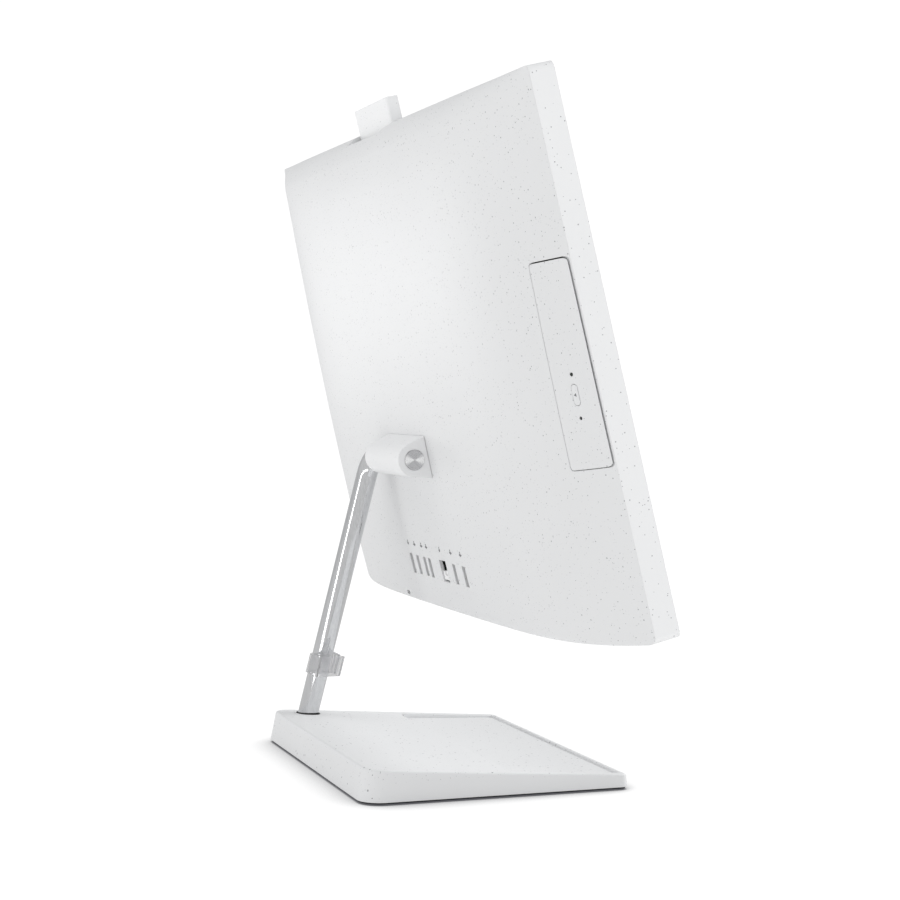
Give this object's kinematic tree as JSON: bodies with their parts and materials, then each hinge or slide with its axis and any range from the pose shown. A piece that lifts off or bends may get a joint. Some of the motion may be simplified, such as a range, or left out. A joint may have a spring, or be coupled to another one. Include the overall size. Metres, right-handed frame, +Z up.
{
  "type": "all in one computer",
  "caption": "Slim all-in-one computer with a swelling white back, a pop-up camera and a side disc tray, tilting on a slanted metal tube that rises from one corner of a wedge base.",
  "frame": {"origin": "on the table under the middle of the base and of the screen", "axes": "+X across the screen, to the right as seen from the screen side; the screen faces -Y, so the back cover and sockets face +Y; +Z up from the table"},
  "size_m": [0.612, 0.197, 0.4988],
  "materials": {
    "white_shell": "fine matt, with sparse dark specks",
    "white_base": "fine matt, with sparse dark specks",
    "white_jaw": "smooth",
    "hinge_cover": "silver-white satin",
    "front_frame": "gloss black",
    "screen": "dark, clear coated",
    "panel": "dark",
    "tube_metal": "polished, drawn along its length",
    "turned_metal": "turned face",
    "clear_clip": "smoky clear",
    "sole_plastic": "fine grain",
    "foot_rubber": "matt",
    "plain_steel": "zinc plated",
    "spring_steel": "hardened, oiled",
    "screw_steel": "black zinc",
    "socket_metal": "nickel plated",
    "black_moulding": "fine grain",
    "hub_plastic": "smooth",
    "circuit_board": "solder mask",
    "chip": "matt",
    "copper": "nickel-free copper",
    "fin_metal": "bare",
    "ribbon": "smooth",
    "lens": "coated",
    "light": "translucent",
    "mark_ink": "printed grey"
  },
  "bodies": {
    "stand": {"base_cover": "white_base", "base_sole": "sole_plastic", "ballast_plate": "plain_steel", "base_screws": "screw_steel", "rubber_feet": "foot_rubber", "tube_socket": "plain_steel", "socket_screws": "screw_steel", "tube_grommet": "foot_rubber", "stand_tube": "tube_metal", "hinge_shaft": "plain_steel", "hinge_end_disc": "turned_metal"},
    "display": {"rear_cover": "white_shell", "port_marks": "mark_ink", "front_bezel": "front_frame", "screen_glass": "screen", "lcd_panel": "panel", "chassis_plate": "plain_steel", "screen_cable": "ribbon", "hinge_knuckle": "hinge_cover", "hinge_bracket": "plain_steel", "bracket_screws": "screw_steel", "torque_rings": "spring_steel", "camera_guide": "black_moulding", "drive_case": "plain_steel", "drive_rails": "hub_plastic", "motherboard": "circuit_board", "board_screws": "screw_steel", "processor": "chip", "heat_spreader": "copper", "heat_pipe": "copper", "heatsink_fins": "fin_metal", "fan_housing": "black_moulding", "memory_modules": "circuit_board", "solid_state_drive": "circuit_board", "wireless_card": "circuit_board", "clock_battery": "fin_metal", "hard_disk": "fin_metal", "hard_disk_cradle": "plain_steel", "speaker_left": "black_moulding", "speaker_right": "black_moulding", "port_board": "circuit_board", "usb_sockets": "socket_metal", "hdmi_socket": "socket_metal", "power_inlet": "socket_metal", "network_socket": "black_moulding", "button_switch": "circuit_board"},
    "popup_camera": {"camera_housing": "white_shell", "camera_window": "black_moulding", "camera_lens": "lens", "camera_board": "circuit_board"},
    "drive_tray": {"disc_tray": "black_moulding", "tray_door": "white_shell", "drive_light": "light"},
    "eject_key": {"eject_button": "white_shell"},
    "disc_hub": {"disc_spindle": "hub_plastic"},
    "pickup": {"lens_sled": "hub_plastic"},
    "blower": {"fan_rotor": "black_moulding"},
    "power_key": {"power_button": "black_moulding"},
    "clip": {"cable_clip": "clear_clip"},
    "network_flap": {"network_jaw": "white_jaw"}
  },
  "joints": [
    {"name": "tilt", "type": "hinge", "parent": "stand", "child": "display", "pos_m": [0, 0.0325, 0.2326], "axis": [1, 0, 0], "range_deg": [-6.2, 18.8]},
    {"name": "camera_slide", "type": "slide", "parent": "display", "child": "popup_camera", "axis": [0, 0.2385, 0.9711], "range_m": [-0.0182, 0]},
    {"name": "tray_slide", "type": "slide", "parent": "display", "child": "drive_tray", "axis": [-1, 0, 0], "range_m": [0, 0.125]},
    {"name": "eject_press", "type": "slide", "parent": "drive_tray", "child": "eject_key", "axis": [0.4627, -0.8609, 0.2115], "range_m": [0, 0.0008], "stiffness_N_per_m": 400, "springref_m": -0.0008},
    {"name": "disc_spin", "type": "hinge", "parent": "drive_tray", "child": "disc_hub", "pos_m": [-0.205, 0.00281, 0.30074], "axis": [0, 0.9711, -0.2385], "continuous": true},
    {"name": "pickup_slide", "type": "slide", "parent": "drive_tray", "child": "pickup", "axis": [1, 0, 0], "range_m": [0, 0.029]},
    {"name": "fan_spin", "type": "hinge", "parent": "display", "child": "blower", "pos_m": [0.161, 0.01051, 0.31532], "axis": [0, 0.9711, -0.2385], "continuous": true},
    {"name": "power_press", "type": "slide", "parent": "display", "child": "power_key", "axis": [0, 0.2385, 0.9711], "range_m": [0, 0.0008], "stiffness_N_per_m": 500, "springref_m": -0.0008},
    {"name": "clip_slide", "type": "slide", "parent": "stand", "child": "clip", "axis": [-0.2669, -0.1638, 0.9497], "range_m": [-0.03, 0.033]},
    {"name": "flap_open", "type": "hinge", "parent": "display", "child": "network_flap", "pos_m": [-0.0235, -0.00294, 0.14234], "axis": [-1, 0, 0], "range_deg": [0, 20], "stiffness_Nm_per_rad": 0.002, "springref_deg": -11.46}
  ]
}
